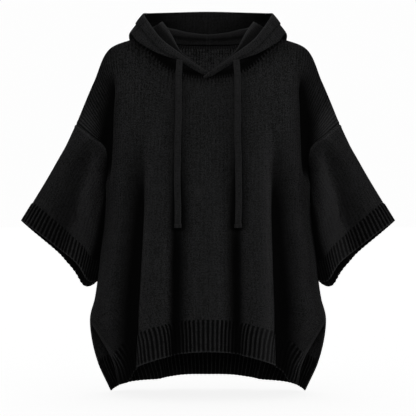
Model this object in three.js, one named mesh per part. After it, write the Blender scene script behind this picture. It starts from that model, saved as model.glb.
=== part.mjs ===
// A hooded knitted sweater, worn loose: front and back panels with drop shoulders, wide half sleeves,
// ribbed cuffs and hems, side vents, a hood lying back in folds and two flat drawcords.
// Millimetres, +Z up, +X to the onlooker's right, the front faces -Y.
// The origin is the middle of the neck, on the seam plane between front and back, level with the shoulders.
import * as THREE from "three";

// ---- driving dimensions ----
const clothThick = 2.6; // the plain knit's wall
const hoodThick = 2.2;
const seamGap = 0.3; // between two pieces sewn together
const ribSeamGap = 0.7; // where a rib's closer columns meet the plain knit's wider ones
const ribPitch = 9.6; // one raised rib and its groove
const ribRaise = 1.5; // how far a rib stands over its groove
const bandWidth = 8; // the ribbed strip round the neckline
const casingThick = 5; // the turned-in edge of the hood with its cord channel
const cordWidth = 13.5;
const cordThick = 4;
const cordEnd = { width: 15.5, thick: 6, length: 9 }; // the doubled end of a cord

// How finely each piece is divided.
const fine = {
  bodyAcross: 40,
  trunkRows: 5,
  sleeveRound: 22,
  sleeveDown: 8,
  pointsPerRib: 3,
  ribRows: 2,
  neckSteps: 32,
  hoodStations: 18,
  hoodProfile: 16,
  casingAcross: 4,
  cordSteps: 18,
  cordCurve: 2,
};

const v3 = (x, y, z) => new THREE.Vector3(x, y, z);
const mix = (a, b, t) => a.clone().lerp(b, t);
const clamp01 = (t) => Math.min(1, Math.max(0, t));
const ease = (t) => clamp01(t) ** 2 * (3 - 2 * clamp01(t));

// A smooth curve through values set at uneven knots, by cubic pieces with three-point slopes.
// It may turn sharply at the knots named as corners.
function cubic(knots, values, at, corners = []) {
  const last = knots.length - 1;
  let i = 0;
  while (i < last - 1 && at > knots[i + 1]) i++;
  const secant = (k) => values[k + 1].clone().sub(values[k]).divideScalar(knots[k + 1] - knots[k]);
  const slope = (k) => {
    if (k === 0 || k === last || corners.includes(Math.abs(knots[k]))) return secant(i);
    const before = knots[k] - knots[k - 1];
    const after = knots[k + 1] - knots[k];
    const sum = secant(k - 1).multiplyScalar(after).addScaledVector(secant(k), before);
    return sum.divideScalar(before + after);
  };
  const span = knots[i + 1] - knots[i];
  const t = (at - knots[i]) / span;
  const out = values[i].clone().multiplyScalar(2 * t ** 3 - 3 * t ** 2 + 1);
  out.addScaledVector(slope(i), span * (t ** 3 - 2 * t ** 2 + t));
  out.addScaledVector(values[i + 1], -2 * t ** 3 + 3 * t ** 2);
  return out.addScaledVector(slope(i + 1), span * (t ** 3 - t ** 2));
}

// ---- body panels ----
// Stations across half a panel, as shares of the cloth from the middle to the side edge, and how far each has
// turned from facing ahead to facing sideways where the cloth goes round the trunk, in degrees.
const across = [0, 0.25, 0.4, 0.55, 0.75, 1];
const turned = [0, 22.5, 40, 58, 73, 90];
const neckShare = 0.4; // the neck point, where neckline and shoulder seam meet

// The shoulder seam, from the neck point out over the arm to the top of the sleeve.
const shoulderSeam = [v3(158, 0, 4), v3(211, 0, -18), v3(246, 0, -90), v3(284, 0, -181)];

// Rows over the shoulders, one point for each station across; "down" is the cloth's length from the neckline.
const frontYoke = [
  { down: 0, points: [v3(0, -92, -89), v3(95, -77, -62), ...shoulderSeam] },
  {
    down: 60,
    points: [
      v3(0, -110, -145), v3(98, -102, -130), v3(156, -76, -104), v3(198, -62, -112),
      v3(226, -56, -150), v3(248, -50, -209),
    ],
  },
  {
    down: 120,
    points: [
      v3(0, -120, -205), v3(100, -114, -196), v3(157, -98, -188), v3(194, -78, -190),
      v3(212, -62, -208), v3(218, -36, -234),
    ],
  },
  {
    down: 190,
    points: [
      v3(0, -124, -275), v3(102, -118, -268), v3(158, -104, -264), v3(197, -80, -266),
      v3(216, -46, -284), v3(217, -12, -306),
    ],
  },
];
const backYoke = [
  { down: 0, points: [v3(0, 82, -11), v3(95, 64, -6), ...shoulderSeam] },
  {
    down: 75,
    points: [
      v3(0, 102, -75), v3(98, 95, -80), v3(156, 72, -84), v3(198, 62, -104), v3(226, 56, -148),
      v3(248, 50, -209),
    ],
  },
  {
    down: 160,
    points: [
      v3(0, 116, -160), v3(100, 110, -162), v3(157, 94, -170), v3(194, 76, -184), v3(212, 62, -206),
      v3(218, 36, -234),
    ],
  },
  {
    down: 250,
    points: [
      v3(0, 122, -250), v3(102, 116, -250), v3(158, 100, -254), v3(197, 78, -262), v3(216, 46, -284),
      v3(217, 12, -306),
    ],
  },
];
// Rows round the trunk: the height and depth of the middle, and where the side edge lies.
const frontTrunk = [
  { name: "underarm", down: 262, middleZ: -345, depth: 126, sideX: 222, sideY: 0, sideZ: -378 },
  { name: "waist", down: 337, middleZ: -420, depth: 127, sideX: 232, sideY: 0, sideZ: -468 },
  { name: "hip", down: 407, middleZ: -490, depth: 128, sideX: 242, sideY: 0, sideZ: -548 },
  { name: "vent top", down: 462, middleZ: -545, depth: 128, sideX: 254, sideY: 0, sideZ: -604 },
  { name: "rib top", down: 509, middleZ: -592, depth: 128, sideX: 208, sideY: 45, sideZ: -674 },
  { name: "hem edge", down: 576, middleZ: -659, depth: 129, sideX: 190, sideY: 62, sideZ: -734 },
];
const backTrunk = [
  { name: "underarm", down: 335, middleZ: -335, depth: 125, sideX: 222, sideY: 0, sideZ: -378 },
  { name: "waist", down: 415, middleZ: -415, depth: 126, sideX: 232, sideY: 0, sideZ: -468 },
  { name: "hip", down: 495, middleZ: -495, depth: 127, sideX: 242, sideY: 0, sideZ: -548 },
  { name: "vent top", down: 575, middleZ: -575, depth: 128, sideX: 254, sideY: 0, sideZ: -604 },
  { name: "rib top", down: 663, middleZ: -663, depth: 128, sideX: 240, sideY: 28, sideZ: -692 },
  { name: "hem edge", down: 730, middleZ: -730, depth: 129, sideX: 212, sideY: 52, sideZ: -759 },
];

// Folds hanging down a panel. A fold runs from its head to its foot, each [x, z], grows over "grow" from the
// head, and rises (or sinks, if minus) by "rise". Its reach is [towards the middle, towards the side].
const frontFolds = [
  { name: "armpit", head: [198, -70], foot: [219, -238], rise: -24, reach: [18, 20], grow: 170 },
  { name: "middle ridge", head: [0, -190], foot: [0, -680], rise: 7, reach: [38, 38], grow: 260 },
  { name: "cord valley", head: [70, -190], foot: [73, -690], rise: -11, reach: [20, 18], grow: 260 },
  { name: "thigh ridge", head: [100, -120], foot: [118, -700], rise: 10, reach: [24, 22], grow: 320 },
  { name: "side valley", head: [140, -90], foot: [170, -710], rise: -18, reach: [24, 28], grow: 330 },
];
const backFolds = [
  { name: "armpit", head: [198, -70], foot: [219, -238], rise: -24, reach: [18, 20], grow: 170 },
  { name: "middle valley", head: [0, -200], foot: [0, -740], rise: -8, reach: [30, 30], grow: 300 },
  { name: "inner ridge", head: [48, -180], foot: [60, -740], rise: 9, reach: [24, 20], grow: 300 },
  { name: "outer valley", head: [100, -150], foot: [118, -745], rise: -13, reach: [24, 22], grow: 300 },
  { name: "side ridge", head: [148, -150], foot: [172, -750], rise: 9, reach: [22, 24], grow: 300 },
];

const pastFoot = 1.2; // a fold keeps its lean this far past its foot

function foldRise(folds, x, z) {
  let rise = 0;
  for (const f of folds) {
    const [headX, headZ] = f.head;
    const [footX, footZ] = f.foot;
    const along = Math.min((z - headZ) / (footZ - headZ), pastFoot);
    const line = headX + (footX - headX) * along;
    const off = Math.abs(x) - line;
    const reach = f.reach[off < 0 ? 0 : 1];
    const grown = ease((headZ - z) / f.grow);
    rise += f.rise * grown * Math.exp(-((off / reach) ** 2));
    if (headX === 0) continue;
    // the fold's twin on the other side of the middle reaches over it
    const twin = Math.abs(x) + line;
    rise += f.rise * grown * Math.exp(-((twin / reach) ** 2));
  }
  return rise;
}

// A row round the trunk as one point for each station across. Under 1, "boxy" fills the row's corners, and
// "sag" brings the back's rows down to the side edge sooner.
const boxy = 0.82;
const sag = { front: 1, back: 0.75 };
function trunkPoints(row, facing) {
  return across.map((share, i) => {
    const turn = (turned[i] * Math.PI) / 180;
    const x = row.sideX * Math.sin(turn) ** boxy;
    const y = row.sideY + (row.depth - row.sideY) * Math.max(0, Math.cos(turn)) ** boxy;
    const z = row.middleZ + (row.sideZ - row.middleZ) * ease(share) ** (facing < 0 ? sag.front : sag.back);
    return v3(x, facing * y, z);
  });
}

// A panel of cloth as a function: share runs from -1 to 1 across it, and down from 0 at the neckline to the
// hem edge. The slopes are read over a short way on both sides of a place.
const shortShare = 0.004;
const shortDown = 2;
const edgeCalm = 10; // the folds die out towards the side edge as this power of the share
function makePanel(yoke, trunk, folds, facing) {
  const rows = [...yoke, ...trunk.map((row) => ({ down: row.down, points: trunkPoints(row, facing) }))];
  const knots = [...across.slice(1).map((s) => -s).reverse(), ...across];
  const downs = rows.map((row) => row.down);
  const corners = facing < 0 ? [trunk.find((row) => row.name === "vent top").down] : [];
  const mirrored = (points) => points.slice(1).map((p) => v3(-p.x, p.y, p.z)).reverse();
  const lines = rows.map((row) => [...mirrored(row.points), ...row.points]);
  const base = (share, down) => {
    const stations = lines.map((line, r) => cubic(knots, line, share, r === 0 ? [neckShare] : []));
    return cubic(downs, stations, down, corners);
  };
  const outward = (at, share, down) => {
    const alongRow = at(share + shortShare, down).sub(at(share - shortShare, down));
    const alongWale = at(share, down + shortDown).sub(at(share, down - shortDown));
    return alongRow.cross(alongWale).normalize().multiplyScalar(facing);
  };
  const point = (share, down) => {
    const p = base(share, down);
    const rise = foldRise(folds, p.x, p.z) * (1 - Math.abs(share) ** edgeCalm);
    const level = outward(base, share, down).setZ(0).normalize();
    return p.addScaledVector(level, rise);
  };
  // The wall keeps to its own side of the plane where front and back are sewn together.
  const keep = (p) => {
    p.y = facing * Math.max(facing * p.y, seamGap / 2);
    return p;
  };
  const place = (share, down, lift) => {
    return keep(point(share, down).addScaledVector(outward(point, share, down), lift));
  };
  const last = trunk.length - 1;
  return { place, underarm: trunk[0].down, ribTop: trunk[last - 1].down, hemEdge: trunk[last].down };
}
const front = makePanel(frontYoke, frontTrunk, frontFolds, -1);
const back = makePanel(backYoke, backTrunk, backFolds, 1);

// ---- sleeves: rings from the armhole to the cuff's edge ----
// "top" is the outer, upper fold of the sleeve and "bottom" its inner, lower fold, each [x, z]; depth is half
// the ring's depth.
const cuffEdge = 1.42;
const sleeveRings = [
  { name: "upper arm", along: 0.33, top: [311, -238], bottom: [229, -412], depth: 58 },
  { name: "lower arm", along: 0.68, top: [346, -299], bottom: [232, -443], depth: 55 },
  { name: "rib top", along: 1, top: [377, -350], bottom: [237, -472], depth: 51 },
  { name: "cuff edge", along: cuffEdge, top: [401, -389], bottom: [242, -514], depth: 54 },
];
const sleeveBoxy = 0.85; // as for the trunk's rows
const sleeveAxis = v3(0.5, 0, -0.87); // down the arm
// Round the cuff its edge isn't level: drawn up at the front, let down a little at the back, and hanging low
// beside the bottom.
const drawnUp = { front: 9, back: -2 };
const lowCorner = { drop: 14, away: 0.55, reach: 0.4 };
// The turns between which a sleeve, going under the arm, comes to lie back to back with the panel.
const underArm = { from: 1.2, to: 2.03 };
const seamLean = 0.2; // the share of the sleeve over which its wall takes up its own lean
const shortTurn = 0.02;
const sleeveFolds = [
  { at: 1.82, reach: 0.2, rise: -8, grow: 1.2 },
  { at: 1.35, reach: 0.3, rise: 3, grow: 1 },
  { at: 4.4, reach: 0.25, rise: -7, grow: 1.2 },
];

// Round the armhole: turn 0 at the shoulder seam, half way round at the underarm, the front first.
// "lean" moves a point through the panel's wall.
function armhole(turn, lean = 0) {
  const around = (turn / Math.PI + 2) % 2;
  const panel = around <= 1 ? front : back;
  const share = around <= 1 ? around : 2 - around;
  return panel.place(1, share * panel.underarm, lean);
}
const armholeOutward = (turn) => armhole(turn).sub(armhole(turn, -clothThick)).normalize();

function ringPoint(ring, turn) {
  const top = v3(ring.top[0], 0, ring.top[1]);
  const bottom = v3(ring.bottom[0], 0, ring.bottom[1]);
  const round = Math.sin(turn);
  const p = mix(bottom, top, (1 + Math.cos(turn)) / 2);
  p.y = -ring.depth * Math.sign(round) * Math.abs(round) ** sleeveBoxy;
  const drawn = round * (round > 0 ? drawnUp.front : -drawnUp.back);
  const fromCorner = (Math.abs(turn - Math.PI) - lowCorner.away) / lowCorner.reach;
  const low = lowCorner.drop * Math.exp(-(fromCorner ** 2));
  return p.addScaledVector(sleeveAxis, (low - drawn) * ease(ring.along - sleeveRings[0].along));
}
function sleevePoint(turn, along) {
  const rings = sleeveRings.map((ring) => ringPoint(ring, turn));
  // Under the arm, sleeve and panel meet back to back, so the sleeve starts a gap further out.
  const fromTop = Math.min(turn, 2 * Math.PI - turn);
  const under = ease((fromTop - underArm.from) / (underArm.to - underArm.from));
  const seam = armhole(turn).addScaledVector(armholeOutward(turn), under * 2 * seamGap);
  return cubic([0, ...sleeveRings.map((ring) => ring.along)], [seam, ...rings], along);
}
function sleeveOutward(turn, along) {
  const round = sleevePoint(turn + shortTurn, along).sub(sleevePoint(turn - shortTurn, along));
  const down = sleevePoint(turn, along + shortTurn).sub(sleevePoint(turn, along - shortTurn));
  return round.cross(down).normalize();
}
function sleevePlace(side, turn, along, lift) {
  let rise = lift;
  for (const f of sleeveFolds) {
    rise += f.rise * ease(along / f.grow) * Math.exp(-(((turn - f.at) / f.reach) ** 2));
  }
  // Where the sleeve goes on from the panel, its wall leans as the panel's does at the seam.
  const own = sleeveOutward(turn, along);
  const shared = armholeOutward(turn);
  const leaning = Math.max(0, own.dot(shared)) * (1 - ease(along / seamLean));
  const out = mix(own, shared, leaning).normalize();
  const p = sleevePoint(turn, along).addScaledVector(out, rise);
  p.x *= side;
  return p;
}

// ---- neckband ----
// The neckline on one side: 0 at the middle of the front, 0.5 at the neck point, 1 at the middle of the back.
// The band leans in over the neck by "neckLean" of its distance from the middle, across and in depth.
const neckLean = { across: 0.0047, depth: 0.0033 };
function neckPlace(side, around, rise, lift) {
  const onFront = around <= 0.5;
  const share = side * neckShare * 2 * (onFront ? around : 1 - around);
  const p = (onFront ? front : back).place(share, 0, lift);
  const up = v3(-p.x * neckLean.across, -p.y * neckLean.depth, 1).normalize();
  return p.addScaledVector(up, rise);
}

// ---- hood ----
// Stations from the throat round to the nape. The cloth runs from the neck seam up to the roll, out and down
// to the drop, and up again to its open edge, whose outer part is the casing, "band" wide.
const hoodStations = [
  { around: 0, roll: [0, -88, -76], drop: [0, -92, -73], edge: [0, -93, -71], band: 9 }, // throat
  { around: 0.05, roll: [14, -85, -68], drop: [14, -95, -75], edge: [14, -93, -62], band: 14 }, // beside it
  { around: 0.11, roll: [32, -79, -48], drop: [32, -100, -66], edge: [32, -91, -48], band: 20 }, // cord bend
  { around: 0.21, roll: [60, -66, -26], drop: [61, -103, -50], edge: [60, -85, -29], band: 24 }, // cord exit
  { around: 0.33, roll: [80, -42, 8], drop: [104, -93, -36], edge: [95, -70, -4], band: 24 }, // lapel
  { around: 0.42, roll: [97, 0, 36], drop: [148, -52, -9], edge: [120, -22, 25], band: 24 }, // peak
  { around: 0.5, roll: [96, 26, 36], drop: [165, -8, 13], edge: [136, 8, 51], band: 24 }, // shoulder
  { around: 0.57, roll: [88, 48, 30], drop: [171, 36, 6], edge: [139, 58, 63], band: 24 }, // corner
  { around: 0.66, roll: [70, 64, 28], drop: [158, 92, -32], edge: [127, 100, 69], band: 24 }, // behind
  { around: 0.8, roll: [44, 78, 23], drop: [108, 134, -86], edge: [86, 138, 75], band: 24 }, // nape side
  { around: 1, roll: [0, 84, 19], drop: [0, 150, -130], edge: [0, 154, 79], band: 24 }, // nape
];
const dropWidth = 9; // across the lower fold
const hoodStart = 1; // nearer the throat only the casing goes on
const nape = hoodStations.length - 1;
// At the throat the right casing reaches past the middle and over the left one, which lies a little behind.
// Both come back to their own lines over the first stations.
const crossing = { right: v3(-20, -6, -6), left: v3(1, 4, 0), stations: 2 };
const seamDepth = -0.2; // the hood's cloth starts this far inside the neckband's face
const pastNape = 1.2; // where the station after the nape mirrors the one before it

// The hood's cloth at a place along the stations, as a curve measured from the neck seam.
function hoodLine(side, at) {
  const stations = [...hoodStations, { ...hoodStations[nape - 1], around: pastNape }];
  const knots = stations.map((_, i) => i);
  const along = (pick) => cubic(knots, stations.map(pick), at);
  const line = (point) =>
    along((station, i) => {
      const [x, y, z] = station[point];
      return v3(i > nape ? -x : x, y, z);
    });
  const around = along((station) => v3(station.around, station.band, 0));
  const seam = neckPlace(1, Math.min(around.x, 1), bandWidth + ribSeamGap, seamDepth);
  const roll = line("roll");
  const drop = line("drop");
  const outwards = drop.clone().sub(roll).setZ(0).normalize();
  const dropStart = drop.clone().addScaledVector(outwards, -dropWidth * clamp01(0.1 + at / 3));
  const points = [seam, roll, dropStart, drop, line("edge")];
  const over = ease(1 - at / crossing.stations);
  // the left side's own seam stays where it is
  for (const p of points.slice(side > 0 ? 0 : 1)) {
    p.addScaledVector(side > 0 ? crossing.right : crossing.left, over);
  }
  const lengths = [0];
  const pace = [0];
  for (let i = 1; i < points.length; i++) {
    const length = points[i].distanceTo(points[i - 1]);
    lengths.push(lengths[i - 1] + length);
    pace.push(pace[i - 1] + Math.sqrt(length));
  }
  return { points, lengths, pace, band: around.y };
}

// Reads a value off straight stretches between knots.
function straight(knots, values, at) {
  let i = 0;
  while (i < knots.length - 2 && at > knots[i + 1]) i++;
  return values[i] + ((values[i + 1] - values[i]) * (at - knots[i])) / (knots[i + 1] - knots[i]);
}
const rollShare = 0.3; // of a station's points are spent up to the roll
const dropShare = 0.72; // and this much up to the drop
const dropReach = 0.65; // the drop comes at this share of the way on from the roll at the latest
const shortStation = 0.02;
// A point of the hood: "from" is the share of the cloth from the neck seam to the casing, or of the casing's
// width.
function hoodPlace(side, at, from, lift, onCasing = false) {
  const spot = (a, f) => {
    const { points, lengths, pace, band } = hoodLine(side, a);
    const end = lengths.at(-1) - band;
    const drop = Math.min(lengths[3], lengths[1] + dropReach * (end - lengths[1]));
    const onCloth = straight([0, rollShare, dropShare, 1], [0, lengths[1], drop, end], f);
    const reach = onCasing ? end + band * f + ribSeamGap : onCloth;
    return cubic(pace, points, straight(lengths, pace, reach));
  };
  const p = spot(at, from);
  const before = Math.max(at - shortStation, 0);
  const after = Math.min(at + shortStation, nape);
  const round = spot(after, from).sub(spot(before, from));
  const up = spot(at, from + shortStation).sub(spot(at, from - shortStation));
  p.addScaledVector(up.cross(round).normalize(), lift);
  // the two halves are sewn together up the middle of the back
  if (at > nape - 0.5) p.x = Math.max(p.x, seamGap / 2);
  p.x *= side;
  return p;
}

// ---- walls ----
// Closes a wall between an outer and an inner sheet of points. Each sheet is a list of rows of equal length,
// and the two may have different numbers of columns. In a round wall each row joins up with its own start.
function closeWall(outer, inner, round = false) {
  const position = [];
  const index = [];
  const number = (sheet) => sheet.map((row) => row.map((p) => position.push(p.x, p.y, p.z) / 3 - 1));
  const out = number(outer);
  const inn = number(inner);
  const quad = (a, b, c, d) => index.push(a, b, c, a, c, d);
  const skin = (rows, inside) => {
    const columns = rows[0].length;
    for (let j = 0; j + 1 < rows.length; j++) {
      for (let i = 0; i < (round ? columns : columns - 1); i++) {
        const k = (i + 1) % columns;
        if (inside) quad(rows[j][i], rows[j + 1][i], rows[j + 1][k], rows[j][k]);
        else quad(rows[j][i], rows[j][k], rows[j + 1][k], rows[j + 1][i]);
      }
    }
  };
  // Zips two lines of points that run side by side.
  const zip = (p, q) => {
    const steps = (line) => (round ? line.length : line.length - 1);
    let i = 0;
    let j = 0;
    while (i < steps(p) || j < steps(q)) {
      const a = p[i % p.length];
      const b = q[j % q.length];
      const takeP = j >= steps(q) || (i < steps(p) && (i + 1) / steps(p) <= (j + 1) / steps(q));
      if (takeP) index.push(a, b, p[++i % p.length]);
      else index.push(a, b, q[++j % q.length]);
    }
  };
  skin(out, false);
  skin(inn, true);
  zip(out[0], inn[0]);
  zip(inn.at(-1), out.at(-1));
  if (!round) {
    const side = (rows, i) => rows.map((row) => row.at(i));
    const strip = (p, q) => {
      for (let j = 0; j + 1 < p.length; j++) quad(p[j], p[j + 1], q[j + 1], q[j]);
    };
    strip(side(out, 0), side(inn, 0));
    strip(side(inn, -1), side(out, -1));
  }
  // Sheets laid out the other way round, as on the front and the left, come out inside out and are turned.
  let volume = 0;
  const corner = (n) => v3(...position.slice(3 * n, 3 * n + 3));
  for (let i = 0; i < index.length; i += 3) {
    volume += corner(index[i]).dot(corner(index[i + 1]).cross(corner(index[i + 2])));
  }
  if (volume < 0) index.reverse();
  const geometry = new THREE.BufferGeometry();
  geometry.setAttribute("position", new THREE.Float32BufferAttribute(position, 3));
  geometry.setIndex(index);
  geometry.computeVertexNormals();
  return geometry;
}

function steps(count, from = 0, to = 1) {
  return Array.from({ length: count + 1 }, (_, i) => from + ((to - from) * i) / count);
}
const sheet = (rows, columns, place) => rows.map((row) => columns.map((column) => place(column, row)));

// The places that part a line into ribs, "pointsPerRib" for each, spaced evenly along it.
const measureSteps = 200;
function ribPlaces(from, to, at) {
  const tries = steps(measureSteps, from, to);
  const lengths = [0];
  for (let i = 1; i < tries.length; i++) {
    lengths.push(lengths[i - 1] + at(tries[i]).distanceTo(at(tries[i - 1])));
  }
  const ribs = Math.round(lengths.at(-1) / ribPitch);
  return steps(ribs * fine.pointsPerRib, 0, lengths.at(-1)).map((length) => {
    let i = 1;
    while (i < tries.length - 1 && lengths[i] < length) i++;
    const part = (length - lengths[i - 1]) / (lengths[i] - lengths[i - 1]);
    return tries[i - 1] + (tries[i] - tries[i - 1]) * part;
  });
}
const isGroove = (i) => i % fine.pointsPerRib === 0;
// A ribbed wall: grooves and ribs outside, one column for each rib inside.
function ribbedWall(rows, columns, place, round) {
  const lift = (i) => (isGroove(i) ? 0 : ribRaise);
  const outside = rows.map((row) => columns.map((column, i) => place(column, row, lift(i))));
  const grooves = columns.filter((_, i) => isGroove(i));
  const inside = sheet(rows, grooves, (column, row) => place(column, row, -clothThick));
  return closeWall(outside, inside, round);
}

const nearBlack = { color: 0x1b1c20, roughness: 0.95, metalness: 0 };
const wool = (name) => new THREE.MeshStandardMaterial({ name, ...nearBlack });
const knit = wool("plain knit");
const rib = wool("rib knit");
const cord = wool("flat cord");
const sweater = new THREE.Group();
function sew(name, geometry, material) {
  const piece = new THREE.Mesh(geometry, material);
  piece.name = name;
  sweater.add(piece);
}

// ---- front and back, with their hems ----
for (const [name, panel] of [["front", front], ["back", back]]) {
  const shares = steps(fine.bodyAcross, -1, 1);
  const yokeRows = steps(fine.sleeveRound / 2, 0, panel.underarm);
  const trunkRows = steps(fine.trunkRows, panel.underarm, panel.ribTop - ribSeamGap).slice(1);
  const downs = [...yokeRows, ...trunkRows];
  const bodySheet = (lift) => sheet(downs, shares, (share, down) => panel.place(share, down, lift));
  sew(`${name}_body`, closeWall(bodySheet(0), bodySheet(-clothThick)), knit);

  const hemRow = (share) => panel.place(share, (panel.ribTop + panel.hemEdge) / 2, 0);
  const hemDowns = steps(fine.ribRows, panel.ribTop, panel.hemEdge);
  sew(`${name}_hem_rib`, ribbedWall(hemDowns, ribPlaces(-1, 1, hemRow), panel.place, false), rib);
}

// ---- sleeves and cuffs ----
const sides = [["left", -1], ["right", 1]];
for (const [name, side] of sides) {
  const turns = steps(fine.sleeveRound, 0, 2 * Math.PI).slice(0, -1);
  const seam = 0.006; // the gap at a seam, as a share of the sleeve's length
  const alongs = steps(fine.sleeveDown, seam, 1 - 2 * seam);
  const place = (turn, along, lift) => sleevePlace(side, turn, along, lift);
  const sleeveSheet = (lift) => sheet(alongs, turns, (turn, along) => place(turn, along, lift));
  sew(`sleeve_${name}`, closeWall(sleeveSheet(0), sleeveSheet(-clothThick), true), knit);

  const cuffRow = (turn) => place(turn, (1 + cuffEdge) / 2, 0);
  const cuffTurns = ribPlaces(0, 2 * Math.PI, cuffRow).slice(0, -1);
  sew(`cuff_${name}`, ribbedWall(steps(fine.ribRows, 1, cuffEdge), cuffTurns, place, true), rib);
}

// ---- neckband ----
const bandTurns = steps(fine.neckSteps, 0, 2).slice(0, -1);
const bandPlace = (turn, rise, lift) => neckPlace(turn > 1 ? -1 : 1, turn > 1 ? 2 - turn : turn, rise, lift);
const bandRows = [ribSeamGap, bandWidth];
const bandSheet = (lift) => sheet(bandRows, bandTurns, (turn, rise) => bandPlace(turn, rise, lift));
sew("neckband", closeWall(bandSheet(0), bandSheet(-clothThick), true), rib);

// ---- hood and its casing ----
// The casing is thick over its cord channel and thins out to both edges, keeping "edge" of its thickness.
const swelling = { edge: 0.3, start: 0.12, end: 0.88, power: 0.8 };
function casingHalf(from) {
  const through = Math.PI * (swelling.start + (swelling.end - swelling.start) * from);
  return (casingThick / 2) * (swelling.edge + (1 - swelling.edge) * Math.sin(through) ** swelling.power);
}
for (const [name, side] of sides) {
  const stations = steps(fine.hoodStations, hoodStart, nape);
  const profile = steps(fine.hoodProfile);
  const hoodSheet = (lift) => sheet(stations, profile, (from, at) => hoodPlace(side, at, from, lift));
  sew(`hood_${name}`, closeWall(hoodSheet(0), hoodSheet(-hoodThick)), knit);

  const casingStations = [...steps(2, 0, hoodStart), ...stations.slice(1)];
  const casingSheet = (way) =>
    sheet(casingStations, steps(fine.casingAcross), (from, at) => {
      return hoodPlace(side, at, from, way * casingHalf(from) - hoodThick / 2, true);
    });
  sew(`hood_casing_${name}`, closeWall(casingSheet(1), casingSheet(-1)), knit);
}

// ---- drawcords ----
// Each comes out from under the casing, bends down over the chest and hangs in front, with a doubled end.
const cordRoute = [
  [59, -106, -52.6],
  [59.5, -109.1, -59],
  [60, -112, -66],
  [60.5, -114.7, -77],
  [61, -117, -90],
  [61.3, -119.6, -107],
  [61.5, -122, -125],
  [61.8, -124.6, -145],
  [62, -127, -165],
  [62, -129.2, -185],
  [62, -131, -205],
  [62.5, -133, -245],
  [62.5, -134, -285],
  [63, -134, -325],
  [63, -134, -362],
  [63, -134, -393],
];
function cordSection(wide, thick) {
  const flat = wide / 2 - thick / 2;
  const section = new THREE.Shape();
  section.absarc(flat, 0, thick / 2, -Math.PI / 2, Math.PI / 2);
  section.absarc(-flat, 0, thick / 2, Math.PI / 2, (3 * Math.PI) / 2);
  section.closePath();
  return section;
}
for (const [name, side] of sides) {
  const points = cordRoute.map(([x, y, z]) => v3(side * x, y, z));
  const route = new THREE.CatmullRomCurve3(points);
  const run = { steps: fine.cordSteps, curveSegments: fine.cordCurve, extrudePath: route };
  sew(`drawcord_${name}`, new THREE.ExtrudeGeometry(cordSection(cordWidth, cordThick), run), cord);

  const end = new THREE.ExtrudeGeometry(cordSection(cordEnd.width, cordEnd.thick), {
    depth: cordEnd.length,
    curveSegments: fine.cordCurve,
    bevelEnabled: false,
  });
  const foot = points.at(-1);
  end.translate(foot.x, foot.y, foot.z - seamGap - cordEnd.length);
  sew(`cord_end_${name}`, end, cord);
}

export default sweater;
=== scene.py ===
# A hooded knitted pullover, worn loose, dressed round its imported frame.
# Metres, +Z up, the front faces -Y. Tables of the form are in millimetres, as in the part's own source.
import math

import bmesh
import bpy
import numpy as np
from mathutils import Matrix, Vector


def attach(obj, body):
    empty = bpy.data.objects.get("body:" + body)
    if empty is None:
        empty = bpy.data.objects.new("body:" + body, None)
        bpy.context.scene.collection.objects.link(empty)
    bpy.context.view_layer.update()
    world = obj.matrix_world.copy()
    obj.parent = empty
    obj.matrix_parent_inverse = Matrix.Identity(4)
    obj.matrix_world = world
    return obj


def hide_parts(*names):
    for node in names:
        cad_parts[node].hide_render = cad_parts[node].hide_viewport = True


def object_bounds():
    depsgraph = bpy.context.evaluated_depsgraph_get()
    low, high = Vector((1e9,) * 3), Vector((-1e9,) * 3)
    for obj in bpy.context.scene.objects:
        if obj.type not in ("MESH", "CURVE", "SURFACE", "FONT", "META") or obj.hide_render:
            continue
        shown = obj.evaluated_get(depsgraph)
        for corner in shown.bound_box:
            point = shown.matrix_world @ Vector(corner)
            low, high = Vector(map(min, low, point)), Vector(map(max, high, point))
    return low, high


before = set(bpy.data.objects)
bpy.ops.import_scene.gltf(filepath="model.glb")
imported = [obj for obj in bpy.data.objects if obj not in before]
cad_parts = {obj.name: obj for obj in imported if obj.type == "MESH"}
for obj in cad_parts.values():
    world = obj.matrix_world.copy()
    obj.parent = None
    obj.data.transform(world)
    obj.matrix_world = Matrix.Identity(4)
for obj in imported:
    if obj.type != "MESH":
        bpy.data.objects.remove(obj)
cadLow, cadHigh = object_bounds()
mm = 0.001
print("frame loaded:", len(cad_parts), "nodes")


# studio: camera, floor and soft lights

studio = {
    "cameraDistance": 3.5,
    "cameraHeight": -0.361,
    "viewWidth": 0.8944,  # what the view takes in at the shoulder seams
    "sensor": 36.0,
    "floorBelow": 0.004,  # under the lowest point of the hem
    "floorSize": 60.0,
    "floorWhite": 0.8,
    "floorGlow": 0.866,
    "worldWhite": 0.985,
    "worldLight": 0.17,
}
lights = [
    # name, size, power, place, where it points
    ("frontLight", 0.9, 46.0, (0.0, -3.0, 0.1), (0.0, 0.0, -0.4)),
    ("leftKey", 0.9, 14.0, (-2.0, -1.7, 0.3), (0.0, 0.0, -0.45)),
    ("rightKey", 0.9, 26.0, (2.4, -1.0, 0.6), (0.0, 0.0, -0.35)),
    ("topLight", 1.2, 9.0, (0.0, -0.8, 2.1), (0.0, 0.0, -0.1)),
    ("lowLight", 0.5, 5.0, (0.0, -2.0, -0.66), (0.0, 0.1, -0.7)),
    ("backLight", 1.6, 30.0, (0.0, 2.8, 1.2), (0.0, 0.0, -0.3)),
]


def link(thing):
    bpy.context.scene.collection.objects.link(thing)
    return thing


def pointAt(thing, target):
    way = target - thing.location
    thing.rotation_euler = way.to_track_quat("-Z", "Y").to_euler()


def makeCamera():
    data = bpy.data.cameras.new("camera")
    data.sensor_width = studio["sensor"]
    data.lens = studio["sensor"] * studio["cameraDistance"] / studio["viewWidth"]
    camera = link(bpy.data.objects.new("camera", data))
    camera.location = (0, -studio["cameraDistance"], studio["cameraHeight"])
    camera.rotation_euler = (math.radians(90), 0, 0)
    bpy.context.scene.camera = camera


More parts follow.
